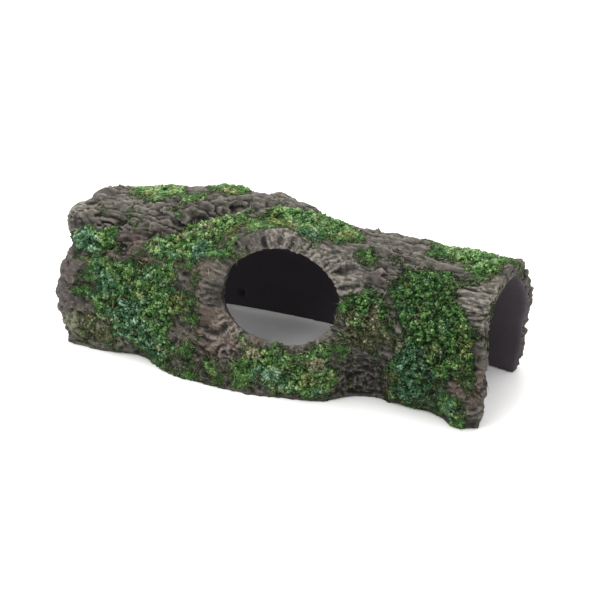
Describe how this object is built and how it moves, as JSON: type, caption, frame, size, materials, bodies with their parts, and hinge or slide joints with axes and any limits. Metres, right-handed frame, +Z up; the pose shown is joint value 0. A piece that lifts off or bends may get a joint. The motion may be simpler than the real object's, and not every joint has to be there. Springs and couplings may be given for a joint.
{
  "type": "mossy bark log hide",
  "caption": "Hollow half log of rough bark with pads of moss, open at both ends and underneath, with an oval knot hole in its front wall: a hide or decoration to stand on a surface.",
  "frame": {"origin": "under the middle of the log, on the plane that its feet stand on", "axes": "+X along the log towards the end with the flared foot, +Z up, the knot hole faces -Y"},
  "size_m": [0.2572, 0.1012, 0.0928],
  "materials": {
    "bark": "cast resin moulded as rough bark, grey-brown with pale dry-brushed crests and dark crevices, matt",
    "moss": "crumbly green moss, matt, with bright tips and dark gaps"
  },
  "bodies": {
    "root": {"bark": "bark", "moss_left_shoulder": "moss", "moss_left": "moss", "moss_under_flake": "moss", "moss_crown": "moss", "moss_flake_top": "moss", "moss_hump": "moss", "moss_sill": "moss", "moss_knot_side": "moss", "moss_right": "moss", "moss_right_end": "moss", "moss_right_foot": "moss", "moss_back_left": "moss", "moss_back_right": "moss"}
  },
  "joints": []
}
